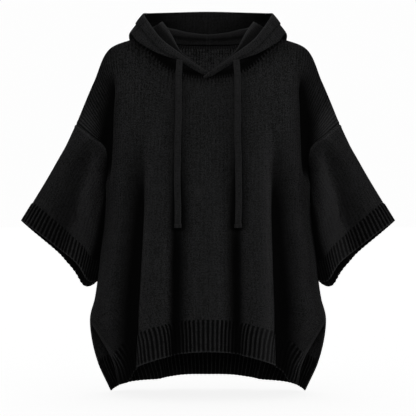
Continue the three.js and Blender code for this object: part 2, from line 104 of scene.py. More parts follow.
def makeLights(floor):
    spared = bpy.data.collections.new("spared")
    spared.objects.link(floor)
    spared.collection_objects[0].light_linking.link_state = "EXCLUDE"
    for name, size, power, place, target in lights:
        data = bpy.data.lights.new(name, "AREA")
        data.shape = "DISK"
        data.size = size
        data.energy = power
        lamp = link(bpy.data.objects.new(name, data))
        lamp.location = place
        pointAt(lamp, Vector(target))
        lamp.light_linking.receiver_collection = spared


def makeWorld():
    world = bpy.data.worlds.new("studioWorld")
    bpy.context.scene.world = world
    world.use_nodes = True
    nodes, links = world.node_tree.nodes, world.node_tree.links
    soft = nodes["Background"]
    soft.inputs["Color"].default_value = (1, 1, 1, 1)
    soft.inputs["Strength"].default_value = studio["worldLight"]
    bright = nodes.new("ShaderNodeBackground")
    bright.inputs["Color"].default_value = (1, 1, 1, 1)
    bright.inputs["Strength"].default_value = studio["worldWhite"]
    path = nodes.new("ShaderNodeLightPath")
    either = nodes.new("ShaderNodeMixShader")
    links.new(path.outputs["Is Camera Ray"], either.inputs["Fac"])
    links.new(soft.outputs["Background"], either.inputs[1])
    links.new(bright.outputs["Background"], either.inputs[2])
    links.new(either.outputs["Shader"], nodes["World Output"].inputs["Surface"])


def makeFloor():
    bm = bmesh.new()
    bmesh.ops.create_grid(bm, x_segments=1, y_segments=1, size=studio["floorSize"] / 2)
    bmesh.ops.translate(bm, verts=bm.verts, vec=(0, 0, cadLow.z - studio["floorBelow"]))
    mesh = bpy.data.meshes.new("floor")
    bm.to_mesh(mesh)
    bm.free()
    floor = link(bpy.data.objects.new("floor", mesh))
    paper = bpy.data.materials.new("paper")
    paper.use_nodes = True
    shader = paper.node_tree.nodes["Principled BSDF"]
    white = studio["floorWhite"]
    shader.inputs["Base Color"].default_value = (white, white, white, 1)
    shader.inputs["Roughness"].default_value = 0.9
    shader.inputs["Emission Color"].default_value = (1, 1, 1, 1)
    shader.inputs["Emission Strength"].default_value = studio["floorGlow"]
    mesh.materials.append(paper)
    floor.visible_diffuse = False
    floor.visible_glossy = False
    return floor


makeCamera()
makeWorld()
makeLights(makeFloor())
bpy.context.scene.view_settings.view_transform = "Standard"
print("studio ready")


# curves and walls that every piece shares


def ease(t):
    t = np.clip(t, 0, 1)
    return t * t * (3 - 2 * t)


def grown(value, start, reach):
    return ease((value - start) / reach)


def unit(way):
    return way / np.maximum(np.linalg.norm(way, axis=-1, keepdims=True), 1e-12)


def bell(off, reach):
    return np.exp(-((off / reach) ** 2))


# A smooth curve through values set at uneven knots, with three-point slopes. It may turn sharply at corners.
def smoothThrough(knots, values, at, corners=()):
    last = len(values) - 1
    spans = [knots[k + 1] - knots[k] for k in range(last)]
    wide = [np.asarray(span)[..., None] for span in spans]
    secants = [(values[k + 1] - values[k]) / wide[k] for k in range(last)]

    def slope(k, segment):
        if k in (0, last) or (np.ndim(knots[k]) == 0 and abs(knots[k]) in corners):
            return secants[segment]
        return (secants[k - 1] * wide[k] + secants[k] * wide[k - 1]) / (wide[k - 1] + wide[k])

    out = None
    for i in range(last):
        t = ((at - knots[i]) / spans[i])[..., None]
        piece = values[i] * (2 * t**3 - 3 * t**2 + 1) + values[i + 1] * (3 * t**2 - 2 * t**3)
        piece = piece + slope(i, i) * wide[i] * (t**3 - 2 * t**2 + t)
        piece = piece + slope(i + 1, i) * wide[i] * (t**3 - t**2)
        out = piece if i == 0 else np.where((at > knots[i])[..., None], piece, out)
    return out


# Reads values off straight stretches between knots.
def straight(knots, values, at):
    out = None
    for i in range(len(knots) - 1):
        piece = values[i] + (values[i + 1] - values[i]) * (at - knots[i]) / (knots[i + 1] - knots[i])
        out = piece if i == 0 else np.where(at > knots[i], piece, out)
    return out


# knitted cloth: one dictionary of looks for each kind of knit

fineKnit = {"wale": 0.0024, "lean": 0.9, "depth": 0.001, "course": 0.0019, "fuzz": 0.06, "speckle": 1.0}
fineRib = {**fineKnit, "course": 0.002, "linePitch": 0.0096, "lines": 0.0, "speckle": 0.8, "ribs": 1.0}
knits = {
    # wale and course are one stitch's width and height, lean how far its legs slant, and depth its relief.
    # lines and ribs say how dark the painted shade in open rows and grooves is, linePitch apart. shadedBy
    # names the attribute of painted shade and light that the knit reads, the outer faces' one if it isn't
    # given.
    "jersey": {
        **fineKnit, "depth": 0.0012, "linePitch": 0.0066, "lines": 0.6,
        "dark": (0.0004, 0.0004, 0.00042), "light": (0.0162, 0.0162, 0.0166),
    },
    # jersey with a darker top colour for the inner faces: painted shade
    "inside": {
        **fineKnit, "linePitch": 0.0066, "lines": 0.3, "fuzz": 0.04, "shadedBy": "inside",
        "dark": (0.0008, 0.0008, 0.00085), "light": (0.0125, 0.0125, 0.0128),
    },
    "reverse": {
        "wale": 0.0056, "course": 0.0032, "lean": 0.35, "depth": 0.0014, "shadedBy": "inside",
        "dark": (0.0012, 0.0012, 0.00125), "light": (0.0360, 0.0360, 0.0366),
        "fuzz": 0.05, "linePitch": 0.0056, "lines": 0.5, "speckle": 1.3, "ribs": 0.2,
    },
    # ribbing in a lighter colour for the inner faces: painted light
    "insideRibbing": {
        **fineRib, "shadedBy": "inside",
        "dark": (0.0020, 0.0020, 0.0021), "light": (0.0300, 0.0300, 0.0305),
    },
    "ribbing": {
        **fineRib, "dark": (0.0005, 0.0005, 0.00052), "light": (0.0185, 0.0185, 0.0190),
    },
    "cordKnit": {
        "wale": 0.0022, "course": 0.002, "lean": 0.9, "depth": 0.0008,
        "dark": (0.0020, 0.0020, 0.0021), "light": (0.0145, 0.0145, 0.0148),
        "fuzz": 0.07, "linePitch": 0.0078, "lines": 0.0, "speckle": 0.8,
    },
}


def addNode(tree, kind, inputs=None, **settings):
    made = tree.nodes.new("ShaderNode" + kind)
    for key, value in settings.items():
        setattr(made, key, value)
    for key, value in (inputs or {}).items():
        if isinstance(value, bpy.types.NodeSocket):
            tree.links.new(value, made.inputs[key])
        else:
            made.inputs[key].default_value = value
    return made


def maths(tree, operation, first, second=0.0, clamp=False):
    made = addNode(tree, "Math", {0: first, 1: second}, operation=operation)
    made.use_clamp = clamp
    return made.outputs[0]


def times(tree, first, second):
    return maths(tree, "MULTIPLY", first, second)


def minus(tree, first, second):
    return maths(tree, "SUBTRACT", first, second)


# Height of a knit's surface: each stitch is two slanting legs between two hollows.
def stitchHeight(tree, uv, look):
    parts = addNode(tree, "SeparateXYZ", {0: uv})
    x = maths(tree, "DIVIDE", parts.outputs["X"], look["wale"])
    y = maths(tree, "DIVIDE", parts.outputs["Y"], look["course"])
    middle = maths(tree, "ABSOLUTE", minus(tree, maths(tree, "FRACT", x), 0.5))
    slanted = maths(tree, "ADD", y, times(tree, middle, look["lean"] * 2))
    leg = maths(tree, "SINE", times(tree, maths(tree, "FRACT", slanted), math.pi))
    side = maths(tree, "SINE", times(tree, middle, math.tau))
    leg = maths(tree, "POWER", maths(tree, "MAXIMUM", leg, 0.0), 0.6)
    side = maths(tree, "POWER", maths(tree, "MAXIMUM", side, 0.0), 0.45)
    return times(tree, leg, side)


def rowsOf(tree, uv, pitch, sharp):
    x = maths(tree, "DIVIDE", addNode(tree, "SeparateXYZ", {0: uv}).outputs["X"], pitch)
    wave = maths(tree, "ABSOLUTE", maths(tree, "COSINE", times(tree, x, math.pi)))
    return maths(tree, "POWER", wave, sharp)


# what all knits share
yarn = {
    # each layer of noise: stretch, scale, strength, and whether the knit's own speckle makes it stronger
    "noise": [
        ((1, 0.08, 1), 330.0, 0.4, True),  # streaks along the wales
        ((0.1, 1, 1), 330.0, 0.3, True),  # and across them
        ((1, 1, 1), 14.0, 0.12, False),  # blotches
        ((1, 1, 1), 560.0, 1.9, True),  # grain
    ],
    # how far a stitch's height lightens it: painted shade in the hollows between its legs
    "stitch": 0.35,
    "ground": 0.32,
    "eachStitch": 0.3,  # how far one stitch differs from the next
    "stitchRows": 1.5,
    "openRow": 3.0,  # how narrow an open row is, and a rib's groove
    "groove": 2.6,
    "raised": -0.5,  # how far places below 0 lighten: a painted highlight
    "bump": 0.8,
    "roughness": 0.95,
    "specular": 0.04,
    "sheenRoughness": 0.5,
    "sheenTint": (0.84, 0.84, 0.86, 1),
}


def makeKnit(name):
    look = knits[name]
    material = bpy.data.materials.new(name)
    material.use_nodes = True
    tree = material.node_tree
    shader = tree.nodes["Principled BSDF"]
    uv = addNode(tree, "UVMap", uv_map="cloth").outputs["UV"]
    stitch = stitchHeight(tree, uv, look)

    speckle = look["speckle"]
    # raised stitch legs lighter than the hollows between them: painted shade
    shade = maths(tree, "ADD", times(tree, stitch, yarn["stitch"]), yarn["ground"])
    for stretch, scale, strength, speckled in yarn["noise"]:
        stretched = addNode(tree, "Mapping", {"Vector": uv, "Scale": stretch}).outputs[0]
        noise = addNode(tree, "TexNoise", {"Vector": stretched, "Scale": scale, "Detail": 1.0}).outputs[0]
        strength *= speckle if speckled else 1
        part = times(tree, minus(tree, noise, 0.5), strength)
        shade = maths(tree, "ADD", shade, part)
    size = (look["wale"], look["course"] * yarn["stitchRows"], 1)
    cell = addNode(tree, "VectorMath", {0: uv, 1: size}, operation="SNAP").outputs[0]
    each = addNode(tree, "TexWhiteNoise", {"Vector": cell}, noise_dimensions="2D").outputs["Value"]
    each = times(tree, minus(tree, each, 0.5), yarn["eachStitch"] * speckle)
    shade = maths(tree, "ADD", shade, each)

    # painted shade in the open rows of stitches where the cloth is stretched and in the grooves of ribs, then
    # the piece's painted shade and light
    opened = addNode(tree, "Attribute", attribute_name="opened").outputs["Fac"]
    hollow = addNode(tree, "Attribute", attribute_name=look.get("shadedBy", "hollow")).outputs["Fac"]
    rows = times(tree, rowsOf(tree, uv, look["linePitch"], yarn["openRow"]), opened)
    shade = minus(tree, shade, times(tree, rows, look["lines"]))
    height = minus(tree, stitch, rows)
    if "ribs" in look:
        grooves = rowsOf(tree, uv, look["linePitch"], yarn["groove"])
        shade = minus(tree, shade, times(tree, grooves, look["ribs"]))
    shade = maths(tree, "ADD", shade, 0.0, clamp=True)
    # the attribute's painted shade darkens the knit above 0, and its painted highlight lightens it below 0
    lit = maths(tree, "SUBTRACT", 1.0, hollow, clamp=True)
    raised = maths(tree, "MAXIMUM", times(tree, hollow, yarn["raised"]), 0.0)
    shade = maths(tree, "ADD", times(tree, shade, lit), raised, clamp=True)
    shades = {"Fac": shade, "Color1": (*look["dark"], 1), "Color2": (*look["light"], 1)}
    tree.links.new(addNode(tree, "MixRGB", shades).outputs[0], shader.inputs["Base Color"])
    tree.links.new(times(tree, shade, look["fuzz"]), shader.inputs["Sheen Weight"])

    relief = {"Height": height, "Distance": look["depth"], "Strength": yarn["bump"]}
    tree.links.new(addNode(tree, "Bump", relief).outputs[0], shader.inputs["Normal"])
    shader.inputs["Roughness"].default_value = yarn["roughness"]
    shader.inputs["Specular IOR Level"].default_value = yarn["specular"]
    shader.inputs["Sheen Roughness"].default_value = yarn["sheenRoughness"]
    shader.inputs["Sheen Tint"].default_value = yarn["sheenTint"]
    return material


fabric = {name: makeKnit(name) for name in knits}
darkest = 0.97  # how far painted shade may take the knit to its darkest
print("knits ready:", ", ".join(fabric))


# making pieces


def finishPiece(bm, name, nodes, materials):
    mesh = bpy.data.meshes.new(name)
    bm.to_mesh(mesh)
    bm.free()
    mesh.shade_smooth()
    for knit in materials:
        mesh.materials.append(fabric[knit])
    piece = link(bpy.data.objects.new(name, mesh))
    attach(piece, "root")
    if nodes:
        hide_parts(*nodes)
    return piece


# Lengths along a grid's rows, on average, and down each of its columns.
def arcLengths(placed):
    steps = np.linalg.norm(np.diff(placed, axis=1), axis=-1).mean(0)
    down = np.linalg.norm(np.diff(placed, axis=0), axis=-1)
    x = np.concatenate([[0], np.cumsum(steps)])[None, :]
    y = np.concatenate([np.zeros((1, down.shape[1])), np.cumsum(down, axis=0)])
    return x, -y


# A flat grid moved to its place. place(shares, downs) gives millimetres, flat(shares, downs) the cut in
# metres, and outward is a way that the piece's middle faces. Fields become attributes that the knits read.
def clothGrid(shares, downs, place, flat, outward, wrapped=False, **fields):
    columns, rows = len(shares) - 1, len(downs) - 1
    shares, downs = np.asarray(shares)[None, :], np.asarray(downs)[:, None]
    placed = place(shares, downs) * mm
    x, y = np.broadcast_arrays(*(flat(shares, downs) if flat else arcLengths(placed)))
    shape = np.broadcast(shares, downs).shape
    fields = {key: np.broadcast_to(field(shares, downs), shape) for key, field in fields.items()}
    bm = bmesh.new()
    layers = {key: bm.verts.layers.float.new(key) for key in fields}
    cloth = bm.loops.layers.uv.new("cloth")
    bmesh.ops.create_grid(bm, x_segments=columns, y_segments=rows, size=0.5, calc_uvs=True)
    for vert in bm.verts:
        spot = round((vert.co.y + 0.5) * rows), round((vert.co.x + 0.5) * columns)
        vert.co = placed[spot]
        for key, layer in layers.items():
            vert[layer] = fields[key][spot]
    for face in bm.faces:
        for loop in face.loops:
            i, j = round(loop[cloth].uv.x * columns), round(loop[cloth].uv.y * rows)
            loop[cloth].uv = (x[j, i], y[j, i])
    if wrapped:
        edge = [vert for vert in bm.verts if vert.is_boundary]
        bmesh.ops.remove_doubles(bm, verts=edge, dist=0.02 * mm)
    i, j = columns // 2, rows // 2
    facing = np.cross(placed[j, i + 1] - placed[j, i], placed[j + 1, i] - placed[j, i])
    if facing @ np.array(outward) < 0:
        bmesh.ops.reverse_faces(bm, faces=bm.faces)
    return bm


rims = {"plain": 0.0008, "rib": 0.0006, "neck": 0.0005, "sharp": 65}  # metres, and degrees


def thicken(piece, thick, rim="plain"):
    wall = piece.modifiers.new("wall", "SOLIDIFY")
    wall.thickness = thick * mm
    wall.offset = -1
    wall.use_quality_normals = True
    wall.material_offset = 1
    wall.material_offset_rim = 0
    edge = piece.modifiers.new("edge", "BEVEL")
    edge.width = rims[rim]
    edge.segments = 2
    edge.limit_method = "ANGLE"
    edge.angle_limit = math.radians(rims["sharp"])


# One thick sheet of cloth.
def makeSheet(bm, name, nodes, materials, thick, rim="plain"):
    piece = finishPiece(bm, name, nodes, materials)
    thicken(piece, thick, rim)
    print(name, "area", round(sum(face.area for face in piece.data.polygons), 4))
    return piece


# How far along a line of points each one lies.
def runs(points):
    return np.concatenate([[0], np.cumsum(np.linalg.norm(np.diff(points, axis=0), axis=1))])


# Places between two ends, closer together beside the ends and any other lines named.
def spread(start, end, count, lines=(), steps=(0.0015, 0.0035, 0.006, 0.01)):
    reach = end - start
    places = list(np.linspace(start, end, count + 1))
    for line in lines:
        for step in steps:
            places += [line - step * reach, line + step * reach]
        places.append(line)
    return np.unique(np.round([p for p in places if start <= p <= end], 6))


# Places that part a line into whole ribs.
def ribPlaces(start, end, at):
    tries = np.linspace(start, end, 801)
    lengths = runs(at(tries))
    count = round(lengths[-1] / ribs["pitch"])
    return np.interp(np.linspace(0, lengths[-1], count * ribs["perRib"] + 1), lengths, tries)


# In millimetres: each rib's pitch, rise and middle line, how soon it grows, the lip at the edge, how much
# that flattens it, and how far the first row is tucked under.
ribs = {
    "pitch": 9.6, "rise": 1.6, "perRib": 8, "split": 0.16, "grow": 5.0,
    "lip": 0.5, "lipReach": 1.6, "lipFlat": 0.55, "tuck": 0.15,
}
ribbed = ["ribbing", "insideRibbing"]
seamForm = {"ridgeAt": 4.5, "ridgeReach": 2.6, "dipReach": 1.6}


# How far a rib stands out, from its groove at 0 to the next at 1: two wales with a line between.
def ribProfile(phase):
    ridge = np.clip(0.42 + 0.8 * np.cos(math.tau * (phase - 0.5)), 0, 1) ** 0.75
    return ridge - ribs["split"] * bell(phase - 0.5, 0.07)


# full is 0 where the ribs begin, lip is 1 at the edge, and tucked is the first row.
def ribLift(columns, full, lip, tucked):
    phase = np.arange(columns)[None, :] / ribs["perRib"] % 1
    rise = ribs["rise"] * ribProfile(phase) * full
    return rise * (1 - ribs["lipFlat"] * lip) + ribs["lip"] * lip - ribs["tuck"] * tucked


# where the columns of ribbed cloth lie across its cut
def ribAcross(columns):
    return np.arange(columns)[None, :] / ribs["perRib"] * ribs["pitch"] * mm


# A seam's dip between the two low ridges of its turned-in edges.
def seamDip(off, depth=0.9, ridge=0.6):
    ridges = ridge * bell(np.abs(off) - seamForm["ridgeAt"], seamForm["ridgeReach"])
    return ridges - depth * bell(off, seamForm["dipReach"])


sides = [("Left", -1), ("Right", 1)]


# drawcords: flat knitted tubes out from under the casing, over the chest and down

cord = {
    "route": [
        (59, -106, -52.6), (59.5, -109.1, -59), (60, -112, -66), (60.5, -114.7, -77), (61, -117, -90),
        (61.3, -119.6, -107), (61.5, -122, -125), (61.8, -124.6, -145), (62, -127, -165), (62, -129.2, -185),
        (62, -131, -205), (62.5, -133, -245), (62.5, -134, -285), (63, -134, -325), (63, -134, -362),
        (63, -134, -393),
    ],
    "width": 13.5,
    "thick": 4.0,
    "girth": 0.031,  # in metres
    "groove": (0.35, 1.6),  # down the middle of both faces: depth and reach
    "rings": 230,
    "round": 28,
    "endWidth": 15.5,
    "endThick": 6.0,
    "endGirth": 0.036,
    "endLength": 9.0,
    "endGap": 0.3,
    "endRows": (0, 0.25, 0.6, 1, 2, 3.2, 4.5, 6, 7.2, 8, 8.5, 8.8, 9),
    "stitching": 6.0,  # how far down the doubled end is stitched through
    "wander": 0.8,  # how far the cord strays from a straight hang
}


def cordSection(turn, width, thick):
    x = np.sign(np.cos(turn)) * np.abs(np.cos(turn)) ** 0.55 * width / 2
    y = np.sign(np.sin(turn)) * np.abs(np.sin(turn)) ** 0.8 * thick / 2
    return x, y


def capEnds(bm):
    seam = [vert for vert in bm.verts if vert.is_boundary]
    bmesh.ops.remove_doubles(bm, verts=seam, dist=0.01 * mm)
    bmesh.ops.holes_fill(bm, edges=[edge for edge in bm.edges if edge.is_boundary], sides=0)
    bmesh.ops.recalc_face_normals(bm, faces=bm.faces)


def makeCord(name, side):
    points = [np.array(point, float) * (side, 1, 1) for point in cord["route"]]
    knots = np.concatenate([[0], np.cumsum([np.linalg.norm(b - a) for a, b in zip(points, points[1:])])])
    along = np.linspace(0, knots[-1], cord["rings"] + 1)
    line = smoothThrough(knots, points, along)
    stray = cord["wander"] * ease(along / 100)
    line[:, 0] += stray * np.sin(along * 0.026 + side) + 0.4 * stray * np.sin(along * 0.067)
    way = unit(np.gradient(line, axis=0))
    broad = unit(np.cross(way, (0, -1, 0)))
    deep = np.cross(broad, way)
    lengths = runs(line)
    turns = np.linspace(0, math.tau, cord["round"] + 1)

    def placeCord(turn, ring):
        ring = ring.astype(int)
        x, y = cordSection(turn, cord["width"], cord["thick"])
        depth, reach = cord["groove"]
        groove = depth * bell(x, reach) * np.sign(y)
        return line[ring] + broad[ring] * x[..., None] + deep[ring] * (y - groove)[..., None]

    def flatCord(turn, ring):
        return turn / math.tau * cord["girth"], -lengths[ring.astype(int)] * mm

    rings = np.arange(cord["rings"] + 1)
    bm = clothGrid(turns, rings, placeCord, flatCord, (0, -1, 0))
    capEnds(bm)
    piece = finishPiece(bm, "drawcord" + name, ["drawcord_" + name.lower()], ["cordKnit"])

    foot = line[-1]

    # drawn in at its top, at its foot and along its stitching
    def placeEnd(turn, down):
        drawnIn = 0.3 * bell(down - cord["endLength"], 0.7)
        inset = 1 - 0.22 * bell(down, 0.8) - drawnIn - 0.12 * bell(down - cord["stitching"], 0.7)
        x, y = cordSection(turn, cord["endWidth"], cord["endThick"])
        z = -cord["endGap"] - down + 0 * x
        return np.stack([x * (0.7 + 0.3 * inset), -y * inset, z], -1) + foot

    def flatEnd(turn, down):
        return turn / math.tau * cord["endGirth"], -down * mm

    bm = clothGrid(turns, np.array(cord["endRows"]), placeEnd, flatEnd, (0, -1, 0))
    capEnds(bm)
    end = finishPiece(bm, "cordEnd" + name, ["cord_end_" + name.lower()], ["cordKnit"])
    print(piece.name, "length", round(lengths[-1]), "mm")


for name, side in sides:
    makeCord(name, side)


# the panels' form

body = {"halfWidth": 0.335, "columns": 204, "wall": 2.6, "shareLength": 330.0}
across = [0, 0.25, 0.4, 0.55, 0.75, 1]
turned = [0, 22.5, 40, 58, 73, 90]  # the turn of the trunk's rows at each share across
neckShare = 0.4
shoulderSeam = [(158, 0, 4), (211, 0, -18), (246, 0, -90), (284, 0, -181)]
boxy = 0.82

# Rows over the shoulders as (down, points), then rows round the trunk as
# (down, height of the middle, depth of the middle, x, y and z of the side edge).
frontPanel = {
    "facing": -1,
    "sag": 1.0,
    "corner": 462,
    "yoke": [
        (0, [(0, -92, -89), (95, -77, -62), *shoulderSeam]),
        (60, [(0, -110, -145), (98, -102, -130), (156, -76, -104), (198, -62, -112),
              (226, -56, -150), (248, -50, -209)]),
        (120, [(0, -120, -205), (100, -114, -196), (157, -98, -188), (194, -78, -190),
               (212, -62, -208), (218, -36, -234)]),
        (190, [(0, -124, -275), (102, -118, -268), (158, -104, -264), (197, -80, -266),
               (216, -46, -284), (217, -12, -306)]),
    ],
    "trunk": [
        (262, -345, 126, 222, 0, -378),
        (337, -420, 127, 232, 0, -468),
        (407, -490, 128, 242, 0, -548),
        (462, -545, 128, 254, 0, -604),
        (509, -592, 128, 208, 45, -674),
        (576, -659, 129, 190, 62, -734),
    ],
    # head and foot of each fold (x, z), its rise, its reach to its left and right, and how soon it grows
    "folds": [
        ((-206, -55), (-217, -240), -26, (21, 9), 80),
        ((202, -55), (211, -240), -26, (9, 21), 80),
        ((-8, -190), (0, -680), 7, (40, 36), 260),
        ((-68, -230), (-73, -690), -22, (12, 32), 240),
        ((61, -230), (65, -690), -21, (29, 12), 240),
        ((-104, -120), (-118, -700), 10, (26, 20), 300),
        ((112, -120), (124, -700), 10, (28, 16), 300),
        ((-134, -180), (-162, -700), -27, (32, 9), 220),
        ((138, -180), (152, -700), -27, (9, 34), 220),
        ((-166, -330), (-190, -700), -8, (22, 24), 240),
        ((170, -330), (182, -700), -8, (24, 22), 240),
    ],
}
backPanel = {
    "facing": 1,
    "sag": 0.75,
    "corner": None,
    "yoke": [
        (0, [(0, 82, -11), (95, 64, -6), *shoulderSeam]),
        (75, [(0, 102, -75), (98, 95, -80), (156, 72, -84), (198, 62, -104), (226, 56, -148),
              (248, 50, -209)]),
        (160, [(0, 116, -160), (100, 110, -162), (157, 94, -170), (194, 76, -184),
               (212, 62, -206), (218, 36, -234)]),
        (250, [(0, 122, -250), (102, 116, -250), (158, 100, -254), (197, 78, -262),
               (216, 46, -284), (217, 12, -306)]),
    ],
    "trunk": [
        (335, -335, 125, 222, 0, -378),
        (415, -415, 126, 232, 0, -468),
        (495, -495, 127, 242, 0, -548),
        (575, -575, 128, 254, 0, -604),
        (663, -663, 128, 240, 28, -692),
        (730, -730, 129, 212, 52, -759),
    ],
    "folds": [
        ((-204, -66), (-219, -240), -24, (20, 16), 130),
        ((204, -66), (217, -240), -24, (16, 20), 130),
        ((4, -200), (-2, -740), -12, (26, 30), 300),
        ((-50, -180), (-60, -740), 9, (22, 24), 300),
        ((47, -190), (62, -740), 9, (24, 20), 300),
        ((-98, -150), (-114, -745), -20, (22, 15), 280),
        ((104, -150), (120, -745), -18, (15, 24), 300),
        ((-150, -150), (-170, -750), 9, (24, 22), 300),
        ((146, -150), (174, -750), 9, (22, 24), 300),
    ],
}


def foldRise(folds, x, z, tight=1.0):
    rise = 0
    for head, foot, height, reach, grow in folds:
        past = (z - head[1]) / (foot[1] - head[1])
        along = np.minimum(past, 1.2)
        off = x - head[0] - (foot[0] - head[0]) * along
        wide = np.where(off < 0, *reach) * tight
        rise = rise + height * ease((head[1] - z) / grow) * (1 - grown(past, 1.1, 0.3)) * bell(off, wide)
    return rise


# Where the hood's lower fold lies over the shoulders, seen from the front: x and z. The painted shadow under
# the hood hangs from it.
hoodShadow = [(0, 32, 61, 104, 148, 165, 176), (-73, -66, -50, -36, -9, 13, 20)]

# Painted shade and light on a panel: a strength, its reach, and ramps, each as where it starts and over how
# far.
panelPaintedShading = {
    "fold": (0.84, 20, -0.1),  # how tight the painted shade lies in a fold, the depth that is wholly dark, and the least
    # painted light beside the arm's edge, between two depths down
    "arm": (0.3, 9, (150, 100), (300, 90)),
    # painted light on the outer body, lower down
    "outer": (0.85, (0.78, 0.1), (270, 110)),
    # painted shade along the seam near the side edge, above the trunk
    "seam": (0.5, 3.5, 2.2),
    # painted highlight along the side edge, further down
    "sideEdge": (1.3, 3.0, 60),
    "shoulder": ((0.35, 0.6), (0.8, 0.1), (150, 60)),  # painted light on the shoulders, left and right
    "slope": ((0.12, 0.2), (0.42, 0.15), (120, 120), (0.85, 0.1)),  # painted shade on the slopes beside the hood, left and right
    # painted shadow under the hood's lower fold, near and far
    "hood": ((0.45, 9), (0.35, 34)),
    "cords": (-63, 61, 15),  # both cords' x, and how far their painted shadow reaches
    # how the cords' painted shadow deepens down the front
    "cordGrowth": (0.4, 0.5, 220),
    # painted light on the front's right at x = 122, below the chest
    "besideCord": (0.4, 122, 15, 120),
}


# A panel as a function of its cloth: share from -1 to 1 across, down from the neckline, and lift in mm.
def makePanel(panel):
    facing = panel["facing"]
    rows = [np.array(points, float) for _, points in panel["yoke"]]
    for _, middleZ, depth, sideX, sideY, sideZ in panel["trunk"]:
        turn = np.radians(turned)
        row = np.zeros((len(across), 3))
        row[:, 0] = sideX * np.sin(turn) ** boxy
        row[:, 1] = facing * (sideY + (depth - sideY) * np.maximum(0, np.cos(turn)) ** boxy)
        row[:, 2] = middleZ + (sideZ - middleZ) * ease(np.array(across)) ** panel["sag"]
        rows.append(row)
    lines = [np.concatenate([(row * (-1, 1, 1))[:0:-1], row]) for row in rows]
    knots = [-share for share in across[:0:-1]] + across
    downs = [row[0] for row in panel["yoke"]] + [row[0] for row in panel["trunk"]]
    corners = (panel["corner"],)

    def base(share, down):
        stations = []
        for r, line in enumerate(lines):
            stations.append(smoothThrough(knots, line, share, (neckShare,) if r == 0 else ()))
        return smoothThrough(downs, stations, down, corners)

    def outward(at, share, down):
        alongRow = at(share + 0.004, down) - at(share - 0.004, down)
        alongWale = at(share, down + 2) - at(share, down - 2)
        return unit(np.cross(alongRow, alongWale)) * facing

    def point(share, down):
        p = base(share, down)
        rise = foldRise(panel["folds"], p[..., 0], p[..., 2]) * (1 - np.abs(share) ** 10)
        level = unit(outward(base, share, down) * (1, 1, 0))
        return p + level * rise[..., None]

    def place(share, down, lift):
        share, down = np.asarray(share, float), np.asarray(down, float)
        p = point(share, down) + outward(point, share, down) * np.asarray(lift, float)[..., None]
        p[..., 1] = facing * np.maximum(facing * p[..., 1], 0.05)
        return p

    # painted light on the outer body and the shoulders, and painted shade on the slopes beside the hood
    def paintedLightness(share, down, deep):
        outwards = np.abs(share)
        strength, start, below = panelPaintedShading["outer"]
        outer = strength * grown(outwards, *start) * grown(down, *below)
        strength, start, end = panelPaintedShading["shoulder"]
        shoulder = np.where(share < 0, *strength) * grown(outwards, *start) * (1 - grown(down, *end))
        strength, start, end, far = panelPaintedShading["slope"]
        slope = np.where(share < 0, *strength) * grown(outwards, *start) * (1 - grown(down, *end))
        return (outer + shoulder) * (1 - deep) - slope * (1 - grown(outwards, *far))

    # painted shadow of the cords on the front, and painted light further out on the right
    def cordShade(x, z):
        left, right, reach = panelPaintedShading["cords"]
        least, more, growth = panelPaintedShading["cordGrowth"]
        beside = bell(x - left, reach) + bell(x - right, reach)
        dark = (least + more * ease((-100 - z) / growth)) * beside * ease((412 + z) / 12)
        strength, at, reach, growth = panelPaintedShading["besideCord"]
        return dark - strength * bell(x - at, reach) * ease((-190 - z) / growth)

    # painted shade in the folds, along the seams, under the hood and behind the cords, less beside the arm,
    # and painted light on the outer body, the shoulders and the side edges
    def hollow(share, down):
        p = base(share, down)
        tight, black, least = panelPaintedShading["fold"]
        deep = np.clip(-foldRise(panel["folds"], p[..., 0], p[..., 2], tight) / black, least, 1)
        edge = (1 - np.abs(share)) * body["shareLength"]
        strength, reach, start, end = panelPaintedShading["arm"]
        arm = strength * (bell(edge, reach) * grown(down, *start) * (1 - grown(down, *end)))
        strength, at, reach = panelPaintedShading["seam"]
        seam = strength * bell(edge - at, reach) * (down < panel["trunk"][0][0])
        strength, reach, growth = panelPaintedShading["sideEdge"]
        seam = seam - strength * bell(edge, reach) * grown(down, panel["trunk"][1][0], growth)
        under = np.maximum(np.interp(np.abs(p[..., 0]), *hoodShadow) - p[..., 2], 0)
        near, far = panelPaintedShading["hood"]
        paintedHoodShadow = near[0] * np.exp(-under / near[1]) + far[0] * np.exp(-under / far[1])
        cords = cordShade(p[..., 0], p[..., 2]) if facing < 0 else 0
        return np.clip(deep - arm + paintedHoodShadow + cords + seam - paintedLightness(share, down, deep), -0.95, darkest)

    place.hollow = hollow
    return place


placeFront = makePanel(frontPanel)
placeBack = makePanel(backPanel)


# front and back

panels = [
    # name, place, rib top, hem edge, rows, facing
    ("front", placeFront, 509, 576, 142, -1),
    ("back", placeBack, 663, 730, 164, 1),
]


def bodyLift(share, down):
    edge = (1 - np.abs(share)) * body["shareLength"]
    shoulder = grown(np.abs(share), neckShare, 0.03)
    return seamDip(edge) + seamDip(down, 0.8, 0.4) * shoulder


# Where the rows of stitches stand open and take painted shade: over the shoulders, a little down the sides,
# and just below the neckline.
def bodyOpened(share, down):
    shoulder = grown(np.abs(share), 0.42, 0.3) * (1 - grown(down, 150, 200))
    ticks = 0.35 * (1 - grown(down, 9, 8)) * (np.abs(share) < neckShare + 0.04)
    return 0.12 + 0.85 * shoulder + 0.25 * grown(np.abs(share), 0.75, 0.2) + ticks


